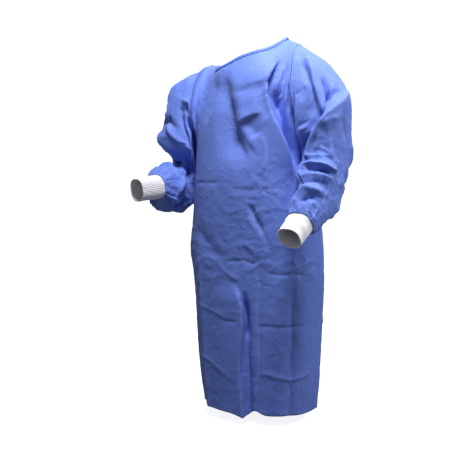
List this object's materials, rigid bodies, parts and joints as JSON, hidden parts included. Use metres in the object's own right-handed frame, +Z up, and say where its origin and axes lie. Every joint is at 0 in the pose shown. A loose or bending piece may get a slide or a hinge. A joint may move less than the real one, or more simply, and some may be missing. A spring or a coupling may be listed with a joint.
{
  "type": "surgical gown",
  "caption": "Worn disposable surgical gown in blue nonwoven cloth, with bent hollow sleeves, knit cuffs, bound neck and a lapped back.",
  "frame": {"origin": "the middle of the neck base, level with the higher neck side, where the wearer's shoulders carry the gown", "axes": "+Z up, the wearer faces -Y, the wearer's left is +X"},
  "size_m": [0.6734, 0.3916, 1.1985],
  "materials": {
    "gown_cloth": "matt spunbond nonwoven with a faint sheen",
    "cuff_knit": "matt rib knit",
    "gown_trim": "matt nonwoven tape"
  },
  "bodies": {
    "root": {"front_panel": "gown_cloth", "back_left_panel": "gown_cloth", "back_right_panel": "gown_cloth", "sleeve_left": "gown_cloth", "sleeve_right": "gown_cloth", "cuff_left": "cuff_knit", "cuff_right": "cuff_knit", "neck_binding": "gown_trim", "neck_tab": "gown_trim", "waist_tie_left": "gown_trim", "waist_tie_right": "gown_trim"}
  },
  "joints": []
}
